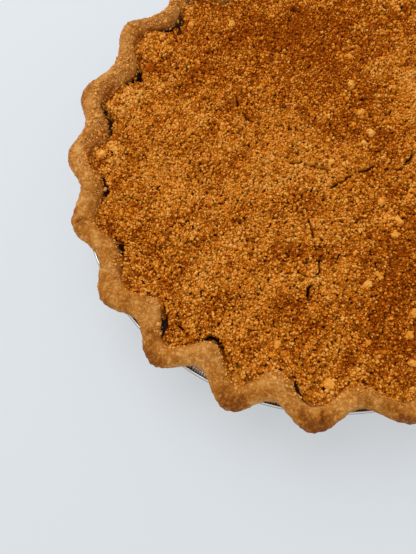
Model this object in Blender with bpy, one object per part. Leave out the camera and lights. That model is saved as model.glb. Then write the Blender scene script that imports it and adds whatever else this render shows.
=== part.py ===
"""Pumpkin pie with a baked crumb top, in its foil tin. Metres, +Z up.

The origin is the middle of the tin's flat base. Three closed bodies are made: the tin with its
pleated wall and rolled edge, the pastry that lines it and stands up as a fluted rim, and the
filling under its crumb top, which reaches into the rim's pockets.
"""

import math
import random
from collections import namedtuple

import bmesh
import bpy
from mathutils import Matrix, Vector, noise

MM = 0.001
GAP = 0.35 * MM

# Foil tin
TIN_BASE_RADIUS = 89.0 * MM
TIN_MOUTH_RADIUS = 111.0 * MM
TIN_RIM_RADIUS = 122.0 * MM
TIN_HEIGHT = 30.0 * MM
FOIL = 0.6 * MM
BEAD_RADIUS = 0.9 * MM
FLANGE_HEIGHT = 28.9 * MM
PLEATS = 80
PLEAT_DEPTH = 0.5 * MM

# Pastry
PASTRY = 4.7 * MM
FLUTES = 20
SPOKES_PER_FLUTE = 8
FILL_LINE = 33.7 * MM
CREST = 39.6 * MM
TIP_SAG = 0.7 * MM
POCKET_DIP = 0.4 * MM
POCKET_SLOPE = 0.15
UNDERSIDE = 29.7 * MM
UNDERSIDE_RADIUS = 116.5 * MM
POCKET_FLOOR = 30.0 * MM
NARROWEST_BULGE = 104.9 * MM
PUFF = 0.45 * MM
PUFF_LENGTH = 13.0 * MM

# Flutes from the far left of the rim round to its near side. Each is the angle of the outward
# tip, how far the tip and the pocket behind it reach, and how far the next valley reaches
# outside and inside. Degrees and millimetres.
LEFT_FLUTES = (
    (124.5, 129.0, 118.0, 118.8, 111.0),
    (142.0, 129.5, 120.0, 119.4, 107.6),
    (163.0, 128.4, 116.8, 120.7, 108.9),
    (179.2, 127.4, 116.6, 120.0, 108.8),
    (196.4, 126.8, 115.1, 119.4, 108.7),
    (214.5, 127.4, 114.4, 119.6, 106.3),
    (231.5, 129.0, 117.8, 118.1, 104.9),
    (249.0, 129.0, 116.6, 119.3, 105.7),
    (265.5, 129.4, 118.1, 119.2, 109.4),
    (285.0, 128.6, 119.2, 119.3, 107.5),
)
MEAN_FLUTE = (128.5, 117.4, 119.4, 107.6)
FLUTE_SPREAD = 1.0
FLUTE_SEED = 7

# Crumb top
CRUMB_TOP = 34.6 * MM
CROWN = 0.9 * MM
LUMPS = ((24.0 * MM, 0.8 * MM), (8.0 * MM, 0.55 * MM))
GRAIN_LIFT = 0.35 * MM
TOP_RADII = (107.5, 103.0, 98.5, 94.0, 89.5, 85.0, 80.5)
TOP_FLUTE_SHARES = (0.75, 0.45, 0.2, 0.05, 0.0, 0.0, 0.0)
INNER_TOP_RADII = ((76, 71, 66, 61, 56, 51, 46, 41), (36.5, 32, 27.5, 23), (19, 15, 11), (6.5,))

# Places where the crumb top has shrunk from the pastry: angle, half width, depth.
EDGE_GAPS = (
    (135.0, 5.0, 2.6), (155.0, 3.5, 2.0), (167.0, 7.0, 1.6), (186.5, 5.0, 1.6), (205.5, 4.0, 1.5),
    (228.0, 3.0, 1.8), (239.5, 5.0, 2.6), (262.5, 2.5, 2.0), (301.0, 4.0, 1.6), (338.0, 6.0, 1.8),
    (12.0, 5.0, 1.5), (53.0, 4.0, 2.0), (88.0, 6.0, 1.7), (112.0, 3.0, 1.4),
)

# Cracks across the crumb top, as the points that each passes through. Millimetres.
CRACKS = (
    ((-15, -3.4), (-6, -5.4), (5.6, -7.0)),
    ((-1.6, -24.8), (1.6, -19.6), (6.6, -15.0), (17.0, -8.7), (24.9, -6.7)),
    ((37.7, -7.5), (44.1, 0.5), (52, 2.0)),
    ((-7.2, -33.4), (-4.9, -45.0), (-2.5, -52.8), (-3.6, -57.6), (-9.6, -69.9)),
    ((-41.5, 33.0), (-38.0, 25.0), (-34.2, 20.6)),
)
CRACK_WIDTH = 1.3 * MM
CRACK_DEPTH = 3.0 * MM

# Larger loose crumbs baked onto the top: place, length and breadth. Millimetres.
CRUMBS = (
    (-1.8, -108.8, 5.6, 3.8), (-23.8, -92.2, 4.2, 3.8), (-20.8, -95.7, 3.6, 3.2),
    (17.7, -64.7, 4.3, 4.0), (24.0, -60.8, 4.4, 3.4), (34.3, -34.3, 6.2, 3.4),
    (27.2, -24.6, 4.8, 3.2), (24.9, 12.4, 5.8, 4.8), (20.8, 24.4, 6.0, 3.4),
    (16.9, 40.3, 4.2, 3.8), (41.1, -21.1, 3.8, 3.4), (31.8, -41.2, 4.6, 3.8),
    (37.3, -77.5, 5.0, 4.2), (34.2, -87.3, 4.6, 4.0), (16.2, -90.5, 4.0, 3.2),
    (34.3, -99.4, 4.4, 3.8), (-43.9, 80.6, 4.6, 4.0), (-66.3, 80.9, 4.2, 3.6),
    (-104.3, 5.5, 4.2, 3.6), (-109.8, 3.3, 5.0, 4.2), (-105.0, -12.3, 4.2, 3.6),
)
FAR_CRUMBS = 16
FAR_SIDE_X = 48.0 * MM
CRUMB_SIZES = (3.6 * MM, 5.6 * MM)
CRUMB_REACH = 98.0 * MM
CRUMB_SEED = 21

Spoke = namedtuple("Spoke", "angle wave inner outer")


def clear_scene():
    for item in list(bpy.data.objects):
        bpy.data.objects.remove(item, do_unlink=True)


def finish_material(name, colour, roughness, metallic):
    made = bpy.data.materials.new(name)
    made.use_nodes = True
    shader = made.node_tree.nodes["Principled BSDF"]
    shader.inputs["Base Color"].default_value = (*colour, 1.0)
    shader.inputs["Roughness"].default_value = roughness
    shader.inputs["Metallic"].default_value = metallic
    made.diffuse_color = (*colour, 1.0)
    return made


def polar(angle, radius, height):
    return Vector((radius * math.cos(angle), radius * math.sin(angle), height))


def join_rings(mesh, ring, following):
    """Faces between two rings. The second has as many points as the first, half or twice as many."""
    if len(following) > len(ring):
        join_rings(mesh, following, ring)
        return
    step = len(ring) // len(following)
    for i, near in enumerate(following):
        after = following[(i + 1) % len(following)]
        edge = [ring[(i * step + k) % len(ring)] for k in range(step + 1)]
        if step == 1:
            mesh.faces.new((edge[0], edge[1], after, near))
        else:
            mesh.faces.new((edge[0], edge[1], near))
            mesh.faces.new((edge[1], after, near))
            mesh.faces.new((edge[1], edge[2], after))


def body_of_rings(name, rings, finish):
    """A closed body: rings of points joined one after the other, with a fan over each end."""
    mesh = bmesh.new()
    placed = [[mesh.verts.new(point) for point in ring] for ring in rings]
    for ring, following in zip(placed, placed[1:]):
        join_rings(mesh, ring, following)
    for end in (placed[0], placed[-1]):
        middle = sum((vert.co for vert in end), Vector()) / len(end)
        tip = mesh.verts.new(middle)
        for i, vert in enumerate(end):
            mesh.faces.new((vert, end[(i + 1) % len(end)], tip))
    bmesh.ops.recalc_face_normals(mesh, faces=mesh.faces)
    data = bpy.data.meshes.new(name)
    mesh.to_mesh(data)
    mesh.free()
    data.materials.append(finish)
    made = bpy.data.objects.new(name, data)
    bpy.context.scene.collection.objects.link(made)
    return made


def smooth(item, sharp_degrees):
    item.data.shade_smooth()
    item.data.set_sharp_from_angle(angle=math.radians(sharp_degrees))


def tin_wall_radius(height):
    """Inside radius of the tin's sloping wall."""
    share = (height - FOIL) / (FLANGE_HEIGHT - FOIL)
    inside = TIN_BASE_RADIUS - FOIL
    return inside + (TIN_MOUTH_RADIUS - TIN_BASE_RADIUS) * share


def make_tin():
    """Flat base, pleated sloping wall, level flange and rolled bead, as one folded sheet."""
    bead_middle = TIN_RIM_RADIUS - BEAD_RADIUS
    bead_height = TIN_HEIGHT - BEAD_RADIUS
    mouth = TIN_MOUTH_RADIUS
    profile = (
        (TIN_BASE_RADIUS, 0.0, 0.0),
        (mouth, FLANGE_HEIGHT - FOIL, 1.0),
        (bead_middle, FLANGE_HEIGHT - FOIL, 0.0),
        (TIN_RIM_RADIUS, bead_height, 0.0),
        (bead_middle, TIN_HEIGHT, 0.0),
        (bead_middle - BEAD_RADIUS, FLANGE_HEIGHT, 0.0),
        (mouth - FOIL, FLANGE_HEIGHT, 1.0),
        (TIN_BASE_RADIUS - FOIL, FOIL, 0.0),
    )
    rings = []
    for radius, height, pleated in profile:
        ring = []
        for i in range(2 * PLEATS):
            fold = PLEAT_DEPTH * pleated * (0.5 if i % 2 else -0.5)
            ring.append(polar(math.pi * i / PLEATS, radius + fold, height))
        rings.append(ring)
    foil = finish_material("foil", (0.78, 0.79, 0.80), 0.28, 1.0)
    tin = body_of_rings("foil_tin", rings, foil)
    smooth(tin, 25)
    return tin


def all_flutes():
    """The left flutes, then evenly spaced ones of like size round the rest of the rim."""
    draw = random.Random(FLUTE_SEED)
    flutes = list(LEFT_FLUTES)
    last = LEFT_FLUTES[-1][0]
    missing = FLUTES - len(LEFT_FLUTES)
    spacing = (LEFT_FLUTES[0][0] + 360.0 - last) / (missing + 1)
    for i in range(1, missing + 1):
        angle = last + spacing * i + draw.uniform(-1.0, 1.0)
        sizes = [mean + draw.uniform(-FLUTE_SPREAD, FLUTE_SPREAD) for mean in MEAN_FLUTE]
        flutes.append((angle, *sizes))
    return flutes


def rim_spokes():
    """The pastry's inside and outside radius along evenly divided spokes of each flute."""
    spokes = []
    flutes = all_flutes()
    for i, (angle, tip, pocket, valley, bulge) in enumerate(flutes):
        following = flutes[(i + 1) % FLUTES]
        turn = (following[0] - angle) % 360.0
        for j in range(SPOKES_PER_FLUTE):
            share = j / SPOKES_PER_FLUTE
            wave = math.cos(2.0 * math.pi * share)
            near_tip, near_pocket = (tip, pocket) if share < 0.5 else following[1:3]
            outward = 0.5 + 0.5 * wave
            outer = valley + (near_tip - valley) * outward
            inner = bulge + (near_pocket - bulge) * outward
            spokes.append(Spoke(math.radians(angle + turn * share), wave, inner * MM, outer * MM))
    return spokes


def pocket_place(spoke):
    """Radius and height of the pastry where a pocket runs down into the lined tin."""
    beyond = spoke.inner - NARROWEST_BULGE
    return NARROWEST_BULGE - 0.5 * MM + 0.5 * beyond, POCKET_FLOOR + POCKET_SLOPE * beyond


def rim_profile(spoke):
    """Points over the rim along one spoke: how far out, how high, and how much they puff."""
    width = spoke.outer - spoke.inner
    sag = TIP_SAG * spoke.wave
    tuck = (1.4 + 0.8 * spoke.wave) * MM
    return (
        (*pocket_place(spoke), 0.0),
        (spoke.inner, FILL_LINE - POCKET_DIP * spoke.wave, 0.0),
        (spoke.inner + 0.09 * width, FILL_LINE + 3.6 * MM, 0.6),
        (spoke.inner + 0.40 * width, CREST - 0.7 * sag, 1.0),
        (spoke.inner + 0.78 * width, CREST - 1.5 * MM - sag, 1.0),
        (spoke.outer, CREST - 5.0 * MM - sag, 0.5),
        (spoke.outer - tuck, UNDERSIDE + 1.7 * MM, 0.0),
        (UNDERSIDE_RADIUS, UNDERSIDE, 0.0),
        (TIN_MOUTH_RADIUS - 1.2 * MM, UNDERSIDE, 0.0),
    )


def level_ring(spokes, radius, height):
    return [polar(spoke.angle, radius, height) for spoke in spokes]


def puffed(spoke, radius, height, share):
    """A point of the rim, lifted or sunk a little as baked pastry is."""
    place = polar(spoke.angle, radius, height)
    lift = noise.noise(place / PUFF_LENGTH) * 2.0 * PUFF * share
    return place + Vector((0.0, 0.0, lift))


def make_crust(spokes):
    """Pastry floor and wall inside, the fluted rim, then the wall and floor against the tin."""
    sparse = spokes[::2]
    floor = FOIL + GAP
    lining = PASTRY / math.cos(math.atan2(TIN_MOUTH_RADIUS - TIN_BASE_RADIUS, FLANGE_HEIGHT))
    clearance = GAP + PLEAT_DEPTH
    foot, low, high = floor + 2.0 * PASTRY, floor + 0.8 * MM, 25.5 * MM
    rings = [
        level_ring(sparse, tin_wall_radius(foot) - 12.0 * MM, floor + PASTRY),
        level_ring(sparse, tin_wall_radius(foot) - clearance - lining, foot),
        level_ring(spokes, tin_wall_radius(high) - clearance - lining, high),
    ]
    profiles = [rim_profile(spoke) for spoke in spokes]
    for k in range(len(profiles[0])):
        rings.append([puffed(spoke, *profile[k]) for spoke, profile in zip(spokes, profiles)])
    rings.append(level_ring(sparse, tin_wall_radius(low) - clearance, low))
    rings.append(level_ring(sparse, tin_wall_radius(low) - 2.0 * MM, floor))
    pastry = finish_material("pastry", (0.56, 0.30, 0.12), 0.55, 0.0)
    crust = body_of_rings("crust", rings, pastry)
    smooth(crust, 50)
    return crust


def edge_gap(angle):
    """How far the crumb top stands back from the pastry at an angle."""
    gap = 0.5
    for middle, half_width, depth in EDGE_GAPS:
        away = (math.degrees(angle) - middle + 180.0) % 360.0 - 180.0
        if abs(away) < half_width:
            gap += depth * (0.5 + 0.5 * math.cos(math.pi * away / half_width))
    return gap * MM


def crumb_height(x, y):
    """Height of the crumb top before its grain."""
    height = CRUMB_TOP + CROWN * (1.0 - (x * x + y * y) / NARROWEST_BULGE**2)
    for length, lift in LUMPS:
        height += lift * noise.noise(Vector((x, y, length)) / length)
    return height


def crumb_ring(places, draw, grain):
    """A ring of the crumb top through places given as angle and radius."""
    ring = []
    for angle, radius in places:
        point = polar(angle, radius, 0.0)
        point.z = crumb_height(point.x, point.y) + grain * draw.uniform(-GRAIN_LIFT, GRAIN_LIFT)
        ring.append(point)
    return ring


def filling_rings(spokes, draw):
    """From the floor up the lined wall, out into the pockets, then in over the crumb top."""
    sparse = spokes[::2]
    mean_inner = MM * 0.5 * (MEAN_FLUTE[1] + MEAN_FLUTE[3])
    floor = FOIL + GAP + PASTRY + GAP
    lining = PASTRY / math.cos(math.atan2(TIN_MOUTH_RADIUS - TIN_BASE_RADIUS, FLANGE_HEIGHT))
    inset = lining + 2.0 * GAP + PLEAT_DEPTH + 0.2 * MM
    foot, high = floor + PASTRY, 25.7 * MM
    rings = [
        level_ring(sparse, tin_wall_radius(foot) - 13.0 * MM, floor),
        level_ring(sparse, tin_wall_radius(foot) - inset, foot),
        level_ring(spokes, tin_wall_radius(high) - inset, high),
    ]
    pocket, edge = [], []
    for spoke in spokes:
        radius, height = pocket_place(spoke)
        pocket.append(polar(spoke.angle, radius - 0.45 * MM, height + GAP))
        edge.append((spoke.angle, spoke.inner - edge_gap(spoke.angle)))
    rings.append(pocket)
    rings.append(crumb_ring(edge, draw, 0.0))
    for radius, share in zip(TOP_RADII, TOP_FLUTE_SHARES):
        places = [(s.angle, radius * MM + share * (s.inner - mean_inner)) for s in spokes]
        rings.append(crumb_ring(places, draw, 1.0))
    fewer = spokes
    for radii in INNER_TOP_RADII:
        fewer = fewer[::2]
        for radius in radii:
            rings.append(crumb_ring([(s.angle, radius * MM) for s in fewer], draw, 1.0))
    return rings


def join_to(body, pieces, operation):
    """Fuses a group of pieces to a body, or cuts them from it, and removes the pieces."""
    group = bpy.data.collections.new(operation.lower())
    bpy.context.scene.collection.children.link(group)
    for piece in pieces:
        group.objects.link(piece)
    tool = body.modifiers.new(operation.title(), "BOOLEAN")
    tool.operand_type = "COLLECTION"
    tool.collection = group
    tool.operation = operation
    tool.solver = "EXACT"
    with bpy.context.temp_override(object=body, active_object=body, selected_objects=[body]):
        bpy.ops.object.modifier_apply(modifier=tool.name)
    for piece in pieces:
        bpy.data.objects.remove(piece, do_unlink=True)
    bpy.data.collections.remove(group)


def loose_object(name, mesh):
    data = bpy.data.meshes.new(name)
    mesh.to_mesh(data)
    mesh.free()
    return bpy.data.objects.new(name, data)


def crack_cutter(points):
    """A thin wedge along a crack, widest in the middle, with its edge down in the crumb."""
    mesh = bmesh.new()
    line = [Vector((x * MM, y * MM, 0.0)) for x, y in points]
    sections = []
    for i, point in enumerate(line):
        along = (line[min(i + 1, len(line) - 1)] - line[max(i - 1, 0)]).normalized()
        side = Vector((-along.y, along.x, 0.0))
        open_share = 0.35 + 0.65 * math.sin(math.pi * i / (len(line) - 1))
        top = crumb_height(point.x, point.y) + 2.0 * MM
        bottom = top - 2.0 * MM - CRACK_DEPTH * open_share
        spread = side * CRACK_WIDTH * open_share
        corners = (point - spread, point + spread, point)
        heights = (top, top, bottom)
        sections.append([mesh.verts.new((p.x, p.y, z)) for p, z in zip(corners, heights)])
    for section, following in zip(sections, sections[1:]):
        for k in range(3):
            after = (k + 1) % 3
            mesh.faces.new((section[k], section[after], following[after], following[k]))
    mesh.faces.new(sections[0])
    mesh.faces.new(sections[-1])
    bmesh.ops.recalc_face_normals(mesh, faces=mesh.faces)
    return loose_object("crack", mesh)


def crumb_lump(x, y, length, breadth, draw):
    """One knobbly crumb, sunk a third of its height into the top."""
    mesh = bmesh.new()
    bmesh.ops.create_icosphere(mesh, subdivisions=1, radius=0.5)
    for vert in mesh.verts:
        vert.co *= draw.uniform(0.85, 1.12)
    size = Vector((length, breadth, 0.8 * breadth))
    place = Vector((x, y, crumb_height(x, y) + 0.2 * breadth))
    turn = Matrix.Rotation(draw.uniform(0.0, math.pi), 4, "Z")
    bmesh.ops.transform(mesh, matrix=Matrix.LocRotScale(place, turn.to_quaternion(), size),
                        verts=mesh.verts)
    return loose_object("crumb", mesh)


def far_crumb(draw):
    """Place and size of a crumb on the far side of the pie, well inside the rim."""
    while True:
        x = draw.uniform(-CRUMB_REACH, CRUMB_REACH)
        y = draw.uniform(-CRUMB_REACH, CRUMB_REACH)
        if math.hypot(x, y) < CRUMB_REACH and (x > FAR_SIDE_X or y > 94.0 * MM):
            length = draw.uniform(*CRUMB_SIZES)
            return x, y, length, length * draw.uniform(0.65, 0.95)


def make_filling(spokes):
    draw = random.Random(CRUMB_SEED)
    crumb = finish_material("crumb_topped_filling", (0.56, 0.25, 0.05), 0.8, 0.0)
    filling = body_of_rings("filling", filling_rings(spokes, draw), crumb)
    join_to(filling, [crack_cutter(points) for points in CRACKS], "DIFFERENCE")
    places = [tuple(value * MM for value in row) for row in CRUMBS]
    places += [far_crumb(draw) for _ in range(FAR_CRUMBS)]
    join_to(filling, [crumb_lump(*place, draw) for place in places], "UNION")
    smooth(filling, 35)
    return filling


def main():
    clear_scene()
    make_tin()
    spokes = rim_spokes()
    make_crust(spokes)
    make_filling(spokes)


main()
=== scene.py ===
"""Crumb-topped pumpkin pie in its foil tin: the looks, laid over the packed solids.

Laid out as an add-on and run as a script. Metres, +Z up, in the frame of the packed model, whose
origin is the middle of the tin's base.
"""

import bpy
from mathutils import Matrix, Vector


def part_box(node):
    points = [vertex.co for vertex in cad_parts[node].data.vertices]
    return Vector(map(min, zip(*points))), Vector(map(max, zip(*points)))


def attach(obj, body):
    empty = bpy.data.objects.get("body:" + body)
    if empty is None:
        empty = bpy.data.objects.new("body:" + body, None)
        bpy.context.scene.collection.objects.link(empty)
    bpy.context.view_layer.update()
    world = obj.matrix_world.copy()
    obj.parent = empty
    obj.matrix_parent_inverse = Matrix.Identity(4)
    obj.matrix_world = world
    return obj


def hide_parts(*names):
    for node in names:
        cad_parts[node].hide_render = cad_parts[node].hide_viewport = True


bl_info = {
    "name": "Crumb Pie",
    "version": (1, 0, 0),
    "blender": (4, 5, 0),
    "location": "3D View > Sidebar > Pie",
    "description": "Models a crumb-topped pie in its foil tin",
    "category": "Object",
}

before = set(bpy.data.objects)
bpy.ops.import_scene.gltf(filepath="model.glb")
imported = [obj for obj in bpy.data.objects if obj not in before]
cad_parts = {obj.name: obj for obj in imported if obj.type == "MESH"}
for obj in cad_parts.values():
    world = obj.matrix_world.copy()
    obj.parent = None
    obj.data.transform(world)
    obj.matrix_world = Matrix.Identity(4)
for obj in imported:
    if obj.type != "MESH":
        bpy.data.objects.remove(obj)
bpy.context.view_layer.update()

import math
import random

import bpy
import numpy as np
from bpy.props import FloatProperty, FloatVectorProperty, IntProperty, PointerProperty
from mathutils import Vector, noise
from mathutils.bvhtree import BVHTree

MM = 0.001
BODY = "root"
_, TIN_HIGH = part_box("foil_tin")

# Sizes that the solids share with this file
TIN_BASE_RADIUS = 89.0 * MM
TIN_MOUTH_RADIUS = 111.0 * MM
FOIL = 0.6 * MM
FLANGE_HEIGHT = 28.9 * MM
GAP = 0.35 * MM
PASTRY = 4.7 * MM
TIN_CLEARANCE = 0.85 * MM
FILL_LINE = 33.7 * MM
TIP_SAG = 0.7 * MM
UNDERSIDE = 29.7 * MM
UNDERSIDE_RADIUS = 116.5 * MM
POCKET_FLOOR = 30.0 * MM
NARROWEST_BULGE = 104.9 * MM

# The pastry's thickness on the sloping wall, measured level
LINING = PASTRY / math.cos(math.atan2(TIN_MOUTH_RADIUS - TIN_BASE_RADIUS, FLANGE_HEIGHT))

# Lumps of the crumb top: how wide they are and how far they lift it
LUMPS = ((24.0 * MM, 0.8 * MM), (8.0 * MM, 0.55 * MM))

# Flutes from the far left of the rim round to its near side. Each is the angle of the outward
# tip, how far the tip and the pocket behind it reach, and how far the next valley reaches
# outside and inside. Degrees and millimetres.
FLUTES = 20
LEFT_FLUTES = (
    (124.5, 129.0, 118.0, 118.8, 111.0),
    (142.0, 129.5, 120.0, 119.4, 107.6),
    (163.0, 128.4, 116.8, 120.7, 108.9),
    (179.2, 127.4, 116.6, 120.0, 108.8),
    (196.4, 126.8, 115.1, 119.4, 108.7),
    (214.5, 127.4, 114.4, 119.6, 106.3),
    (231.5, 129.0, 117.8, 118.1, 104.9),
    (249.0, 129.0, 116.6, 119.3, 105.7),
    (265.5, 129.4, 118.1, 119.2, 109.4),
    (285.0, 128.6, 119.2, 119.3, 107.5),
)
MEAN_FLUTE = (128.5, 117.4, 119.4, 107.6)
FLUTE_SPREAD = 1.0
FLUTE_SEED = 7

# Rings of the pastry, numbered as the solid's: 3 is the pocket, 4 the fill line, 6 the crest,
# 8 the outside and 10 the underside. The rim has rings between, and is round between two.
CRUST_RINGS = (0, 1, 2, 3, 3.5, 4, 4.5, 5, 5.5, 6, 6.5, 7, 7.5, 8, 8.5, 9, 9.5, 10, 11, 12, 13)
CRUST_SPOKES = 380
LAST_RING = CRUST_RINGS[-1]
FIRST_ROUND_RING, LAST_ROUND_RING = 3, 10

# Places where the crumb top has shrunk from the pastry: angle and half width in degrees, then
# how far in millimetres. Elsewhere it stands back by the least gap.
LEAST_GAP = 0.5
EDGE_GAPS = (
    (133.0, 6.0, 4.2), (153.0, 5.0, 3.4), (167.5, 8.0, 2.2), (187.0, 6.0, 2.6), (205.5, 4.5, 2.0),
    (228.0, 3.5, 2.4), (239.5, 5.5, 2.6), (262.5, 3.0, 2.4), (301.0, 4.0, 2.2), (338.0, 6.0, 2.4),
    (12.0, 5.0, 2.0), (53.0, 4.0, 2.6), (88.0, 6.0, 2.2), (112.0, 3.0, 1.8),
)

# Cracks across the crumb top, as the points that each passes through. Millimetres.
CRACKS = (
    ((-15, -3.4), (-6, -5.4), (5.6, -7.0)),
    ((-1.6, -24.8), (1.6, -19.6), (6.6, -15.0), (17.0, -8.7), (24.9, -6.7)),
    ((37.7, -7.5), (44.1, 0.5), (52, 2.0)),
    ((-7.2, -33.4), (-4.9, -45.0), (-2.5, -52.8), (-3.6, -57.6), (-9.6, -69.9)),
    ((-41.5, 33.0), (-38.0, 25.0), (-34.2, 20.6)),
    ((-83.2, -68.6), (-73.3, -81.3)),
    ((-69.1, -83.1), (-63.9, -88.5)),
    ((-47.5, -97.3), (-40.4, -107.6)),
    ((-42.6, -99.9), (-34.7, -109.7)),
)

# Small sunken dark spots of the crumb top: place and radius. Millimetres.
PITS = (
    (-10.6, 89.1, 2.4), (5.2, 70.2, 1.3), (38.5, 88.2, 2.2), (46.1, 84.6, 1.8),
    (-44.9, 70.9, 2.0), (-79.5, 46.9, 2.2), (-74.1, 47.9, 1.6), (-58.0, 35.3, 1.2),
)

# Broad baked tones of the crumb top: place, reach along and across, turn, and how much darker.
# Millimetres and degrees.
BLOTCHES = (
    (-14.0, 72.0, 46.0, 16.0, 0.0, 0.34), (10.3, 15.0, 8.0, 6.0, 0.0, 0.35),
    (-18.0, 76.0, 48.0, 24.0, 0.0, 0.34), (-67.0, 50.0, 12.0, 10.0, 0.0, 0.30),
    (26.0, -76.0, 24.0, 16.0, -60.0, 0.22), (-78.0, -50.0, 16.0, 12.0, 0.0, 0.34),
    (34.0, -92.0, 30.0, 18.0, 0.0, 0.30), (-22.0, -78.0, 20.0, 16.0, 0.0, 0.20),
    (20.0, 36.0, 12.0, 22.0, 20.0, 0.20), (56.0, 36.0, 16.0, 14.0, 0.0, -0.36),
    (30.0, 14.0, 13.0, 9.0, 0.0, 0.46), (26.0, -12.0, 22.0, 20.0, 0.0, 0.12),
    (-18.0, 0.0, 34.0, 26.0, 0.0, -0.12), (-18.0, 32.0, 30.0, 14.0, 0.0, 0.20),
    (-86.0, 54.0, 10.0, 6.0, 0.0, 0.30), (-8.0, -60.0, 18.0, 12.0, 0.0, -0.18),
    (36.0, -60.0, 20.0, 16.0, 0.0, 0.45), (47.0, 87.0, 12.0, 8.0, 0.0, 0.36),
    (-50.0, -66.0, 14.0, 12.0, 0.0, -0.14), (40.0, -27.0, 10.0, 10.0, 0.0, 0.26),
)

# Heaps of coarse pale crumbs: place and radius. Millimetres.
HEAPS = (
    (-84.6, 67.0, 11.0), (-100.3, 35.3, 10.0), (-105.0, 4.0, 8.0), (-71.0, 88.0, 8.0),
    (46.0, 90.0, 9.0), (60.0, 36.0, 14.0), (88.0, -20.0, 11.0), (70.0, 70.0, 9.0),
)

# Creases pressed across the rim at a flute's tip, and dents at its valleys. Degrees; a crease
# has its depth and a dent its distance from the middle and its radius, all in millimetres.
CREASES = (
    (141.8, 1.0), (162.0, 0.3), (196.3, 0.9), (215.5, 0.25), (249.5, 0.2), (267.4, 1.1),
    (285.6, 0.3), (324.0, 0.8), (17.0, 0.5), (52.0, 0.9), (88.0, 0.6),
)
DENTS = (
    (241.2, 113.8, 2.2), (259.4, 113.8, 2.0), (276.2, 117.4, 2.0), (207.0, 113.0, 1.6),
    (313.0, 114.0, 2.0), (31.0, 114.5, 2.2), (71.0, 113.5, 1.8),
)

# Larger loose crumbs baked onto the top: place, length and breadth in millimetres, then the
# tone, from 0 for pale to 1 for brown.
CRUMBS = (
    (-1.8, -108.8, 5.6, 3.8, 0.3), (-23.8, -92.2, 4.2, 3.8, 0.4), (-20.8, -95.7, 3.6, 3.2, 0.6),
    (17.7, -64.7, 4.3, 4.0, 0.3), (24.0, -60.8, 4.4, 3.4, 0.5), (34.3, -34.3, 6.2, 3.4, 0.3),
    (27.2, -24.6, 4.8, 3.2, 0.4), (24.9, 12.4, 5.8, 4.8, 0.0), (20.8, 24.4, 6.0, 3.4, 0.4),
    (16.9, 40.3, 4.2, 3.8, 0.1), (41.1, -21.1, 3.8, 3.4, 0.5), (31.8, -41.2, 4.6, 3.8, 0.4),
    (37.3, -77.5, 5.0, 4.2, 0.4), (34.2, -87.3, 4.6, 4.0, 0.5), (16.2, -90.5, 4.0, 3.2, 0.6),
    (34.3, -99.4, 4.4, 3.8, 0.4), (-43.9, 80.6, 4.6, 4.0, 0.3), (-66.3, 80.9, 4.2, 3.6, 0.4),
    (-104.3, 5.5, 4.2, 3.6, 0.2), (-109.8, 3.3, 5.0, 4.2, 0.2), (-105.0, -12.3, 4.2, 3.6, 0.3),
    (-26.6, -97.1, 3.0, 2.6, 0.6), (-6.7, -113.1, 3.0, 2.4, 0.4), (22.6, -59.5, 3.0, 2.6, 0.4),
    (21.0, 6.9, 3.4, 2.8, 0.1), (16.9, 17.7, 3.2, 2.8, 0.6), (17.5, 57.9, 3.0, 2.6, 0.5),
    (9.6, 65.0, 2.8, 2.4, 0.5), (4.8, -3.2, 3.4, 2.8, 0.2), (-9.9, -5.6, 3.2, 2.8, 0.4),
    (32.8, -110.8, 3.0, 2.6, 0.4), (-104.0, 11.4, 5.6, 4.6, 1.1), (-88.0, 55.0, 5.4, 4.8, 1.1),
)

# Larger crumbs on the side that the photo cuts off: how many, their seed, and where they lie
FAR_CRUMBS = 16
FAR_SEED = 29
FAR_SIDE_X = 48.0 * MM
FAR_SIDE_Y = 94.0 * MM
CRUMB_REACH = 98.0 * MM

# The crumb top's faint ripples run along this direction, in degrees from +X
RIPPLE_TURN = 40.0


def length_setting(name, description, default):
    return FloatProperty(name=name, description=description, default=default, unit="LENGTH")


def colour_setting(name, description, default):
    return FloatVectorProperty(
        name=name, description=description, default=default, subtype="COLOR")


class TinSettings(bpy.types.PropertyGroup):
    """Sizes and colour of the foil tin."""

    rim_radius: length_setting("Rim radius", "Radius over the rolled edge", TIN_HIGH.x)
    height: length_setting("Height", "Height of the rolled edge above the table", TIN_HIGH.z)
    bead: length_setting("Bead radius", "Radius of the rolled edge's roll", 0.75 * MM)
    pleats: IntProperty(
        name="Pleats", description="Fine pleats round the tin", default=600, min=60)
    pleat_depth: length_setting(
        "Pleat depth", "Depth of the fine pleats on the flange", 0.34 * MM)
    colour: colour_setting("Foil", "Colour of the bare foil", (0.97, 0.97, 0.97))
    # Painted shade and painted reflection: the colour mixed into the foil down in its folds,
    # behind the rolled edge, on the roll's underside and in streaks down the wall
    shade: colour_setting(
        "Shade", "Colour down in the folds and behind the rolled edge", (0.012, 0.012, 0.010))


class CrustSettings(bpy.types.PropertyGroup):
    """Sizes and colours of the pastry."""

    crest: length_setting("Crest", "Height of the rim's crest above the table", 39.6 * MM)
    puff: length_setting("Puff", "How unevenly the rim has risen", 0.9 * MM)
    blister: length_setting("Blisters", "Height of the baked skin's small blisters", 0.7 * MM)
    pale: colour_setting("Pale", "Least baked pastry", (0.77, 0.37, 0.095))
    golden: colour_setting("Golden", "Well baked pastry", (0.51, 0.17, 0.015))
    brown: colour_setting("Brown", "Browned tips of the flutes", (0.22, 0.052, 0.001))
    # Painted shade: the colour mixed in on the rim's inner side down at the crumb top
    dark: colour_setting(
        "Dark", "The rim's inner side down at the crumb top", (0.03, 0.009, 0.003))


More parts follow.
